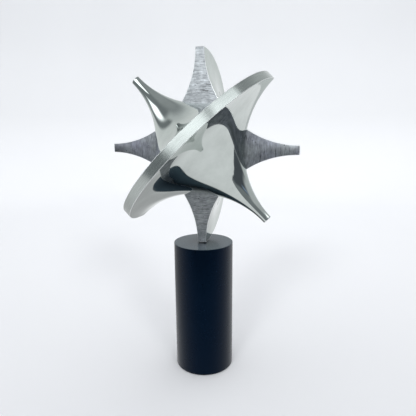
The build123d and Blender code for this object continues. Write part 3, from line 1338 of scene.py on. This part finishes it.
def painted_board(name, code):
    """Smooth matt painted board, with a trace of roller texture, greyer towards its
    top as a painted shade that dims the lit wall.
    """
    material, tree, shader = start_material(name)
    place = add_node(tree, "ShaderNodeTexCoord").outputs["Object"]
    height = add_node(tree, "ShaderNodeSeparateXYZ", {0: place}).outputs[2]
    # Painted shade: the board greys with height, dimming the wall that the suns light.
    painted_wall_shade = add_node(tree, "ShaderNodeMapRange", {"Value": height, 1: 0.0, 2: 0.3, 3: 1.0, 4: 0.85})
    roller = add_node(tree, "ShaderNodeTexNoise", {"Vector": place, "Scale": 1000 / 400, "Detail": 2.0})
    mottle = add_node(tree, "ShaderNodeMapRange", {"Value": roller, 1: 0.3, 2: 0.7, 3: 0.985, 4: 1.0})
    tint = add_node(
        tree,
        "ShaderNodeMix",
        {"Factor": shares_together(tree, [mottle, painted_wall_shade]), 6: BLACK, 7: opaque(code)},
        data_type="RGBA",
    )
    set_inputs(
        tree, shader, {"Base Color": tint.outputs[2], "Roughness": 0.9, "Specular IOR Level": 0.0}
    )
    return material


# Painted soft shadows on the table as the metal sees it: x, y, radius in metres, share taken away.
TABLE_SHADES = [
    (-0.1, 0.26, 0.22, 0.38), (-0.37, 0.2, 0.45, 0.34), (0.05, 0.38, 0.24, 0.18), (0.0, 0.06, 0.16, 0.16)
]


def reflected_table():
    """Pale table as the polished metal sees it: it glows with its own painted light, evenly bright, with
    the star's soft shadows painted in.
    """
    material, tree, shader = start_material("reflected_pale_table")
    place = add_node(tree, "ShaderNodeTexCoord").outputs["Object"]
    shades = []
    for x, y, radius, share in TABLE_SHADES:
        offset = add_node(
            tree, "ShaderNodeVectorMath", {0: place, 1: (x, y, 0.0)}, operation="SUBTRACT"
        )
        away = add_node(tree, "ShaderNodeVectorMath", {0: offset}, operation="LENGTH").outputs["Value"]
        shade = add_node(
            tree,
            "ShaderNodeMapRange",
            {"Value": away, 1: radius * 0.2, 2: radius, 3: 1.0 - share, 4: 1.0},
            interpolation_type="SMOOTHSTEP",
        )
        shades.append(shade)
    # The table is no lamp but glows: painted light, dimmed by the painted shadows.
    settings = {
        "Emission Strength": shares_together(tree, shades),
        "Emission Color": opaque("#F2F4F6"),
        "Base Color": BLACK,
        "Specular IOR Level": 0.0,
    }
    set_inputs(tree, shader, settings)
    return material


def make_sweep(radius):
    """Pale floor that curves up into a low wall all round."""
    curve = 0.7
    curve_steps = 24
    wall_top = 1.0
    steps = 128
    rings = [(0.02, 0.0), (0.3, 0.0), (0.6, 0.0), (radius - curve, 0.0)]
    for k in range(1, curve_steps + 1):
        angle = math.pi / 2 * k / curve_steps
        rings.append((radius - curve + curve * math.sin(angle), curve - curve * math.cos(angle)))
    rings.append((radius, wall_top))
    points = [(0.0, 0.0, 0.0)]
    for r, z in rings:
        for k in range(steps):
            a = 2 * math.pi * k / steps
            points.append((r * math.cos(a), r * math.sin(a), z))
    faces = [(0, 1 + k, 1 + (k + 1) % steps) for k in range(steps)]
    for i in range(len(rings) - 1):
        for k in range(steps):
            n = (k + 1) % steps
            inner = 1 + i * steps
            outer = inner + steps
            faces.append((inner + k, outer + k, outer + n, inner + n))
    sweep = empty_piece("sweep")
    sweep.data.from_pydata(points, [], faces)
    sweep.data.shade_smooth()
    sweep.data.materials.append(painted_board("matt_white_board", "#ECEEF0"))
    sweep.visible_glossy = False
    return sweep


def make_table():
    """The part of the floor that the polished metal sees, and nothing else does."""
    above_floor = 0.05 * MM
    table = empty_piece("table_top")
    corners = [(x, y, 0.0) for x, y in TABLE_OUTLINE]
    table.data.from_pydata(corners, [], [tuple(range(len(corners)))])
    table.data.materials.append(reflected_table())
    table.data.transform(Matrix.Translation((0, 0, above_floor)))
    table.visible_camera = False
    table.visible_diffuse = False
    table.visible_shadow = False
    return table


def hang_lamp(scene, name, kind, place, target, **settings):
    """Lamp that lights the matt surfaces. Neither the camera nor polished metal sees it."""
    lamp = bpy.data.lights.new(name, kind)
    for setting, value in settings.items():
        setattr(lamp, setting, value)
    holder = bpy.data.objects.new(name, lamp)
    scene.collection.objects.link(holder)
    holder.location = place
    aim = Vector(target) - holder.location
    holder.rotation_euler = aim.to_track_quat("-Z", "Y").to_euler()
    holder.visible_glossy = False
    holder.visible_camera = False


def hang_lamps(scene, key_light):
    """Far windows as two soft suns, and two softboxes that even out the floor."""
    for name, place in (("front_light", (-0.14, -1.0, 0.63)), ("right_light", (0.69, -0.72, 0.58))):
        hang_lamp(scene, name, "SUN", place, (0, 0, 0), angle=math.radians(13), energy=key_light)
    for name, place, target, width, height, power in (
        ("back_softbox", (0.3, 0.9, 1.2), (0.1, 0.6, 0.0), 1.0, 0.6, 1.6),
        ("front_softbox", (0.2, -0.75, 0.85), (0.05, -0.2, 0.0), 0.7, 0.5, 1.7),
    ):
        size = {"shape": "RECTANGLE", "size": width, "size_y": height}
        hang_lamp(scene, name, "AREA", place, target, energy=power, **size)


def place_camera(scene, settings):
    """Camera where the settings put it, on a 36 mm sensor."""
    lens = bpy.data.cameras.new("camera")
    lens.lens = settings.lens
    lens.sensor_width = 36.0
    camera = bpy.data.objects.new("camera", lens)
    scene.collection.objects.link(camera)
    camera.location = settings.camera_place
    camera.rotation_euler = settings.camera_turn
    scene.camera = camera


class SCULPTURE_OT_studio(bpy.types.Operator):
    """Make the pale sweep, the light and the camera"""

    bl_idname = "sculpture.studio"
    bl_label = "Studio"
    bl_options = {"REGISTER", "UNDO"}

    def execute(self, context):
        scene = context.scene
        settings = scene.sculpture_studio
        sweep = make_sweep(settings.sweep_radius)
        table = make_table()
        build_world(scene, settings.room_light)
        hang_lamps(scene, settings.key_light)
        place_camera(scene, settings)
        scene.view_settings.view_transform = "Standard"
        return {"FINISHED"}


# ---------------------------------------------------------------- panel and start


class SCULPTURE_PT_panel(bpy.types.Panel):
    """Sidebar panel that lists the pieces and their sizes"""

    bl_idname = "SCULPTURE_PT_panel"
    bl_label = "Desk sculpture"
    bl_space_type = "VIEW_3D"
    bl_region_type = "UI"
    bl_category = "Sculpture"

    def draw(self, context):
        scene = context.scene
        for title, group, operator in (
            ("Star", scene.sculpture_star, "sculpture.star_halves"),
            ("Column", scene.sculpture_column, "sculpture.column"),
            ("Finishes", scene.sculpture_colours, "sculpture.small_pieces"),
            ("Studio", scene.sculpture_studio, "sculpture.studio"),
        ):
            box = self.layout.box()
            box.label(text=title)
            for name in group.bl_rna.properties.keys():
                if name not in {"rna_type", "name"}:
                    box.prop(group, name)
            box.operator(operator)


CLASSES = (
    StarSizes,
    ColumnSizes,
    FinishColours,
    StudioSettings,
    SCULPTURE_OT_star_halves,
    SCULPTURE_OT_column,
    SCULPTURE_OT_small_pieces,
    SCULPTURE_OT_studio,
    SCULPTURE_PT_panel,
)


def register():
    for each in CLASSES:
        bpy.utils.register_class(each)
    scene_type = bpy.types.Scene
    scene_type.sculpture_star = bpy.props.PointerProperty(type=StarSizes)
    scene_type.sculpture_column = bpy.props.PointerProperty(type=ColumnSizes)
    scene_type.sculpture_colours = bpy.props.PointerProperty(type=FinishColours)
    scene_type.sculpture_studio = bpy.props.PointerProperty(type=StudioSettings)


def unregister():
    scene_type = bpy.types.Scene
    del scene_type.sculpture_star
    del scene_type.sculpture_column
    del scene_type.sculpture_colours
    del scene_type.sculpture_studio
    for each in reversed(CLASSES):
        bpy.utils.unregister_class(each)


def main():
    """Build every piece in order."""
    register()
    bpy.ops.sculpture.star_halves()
    bpy.ops.sculpture.column()
    bpy.ops.sculpture.small_pieces()
    bpy.ops.sculpture.studio()


if __name__ == "__main__":
    main()
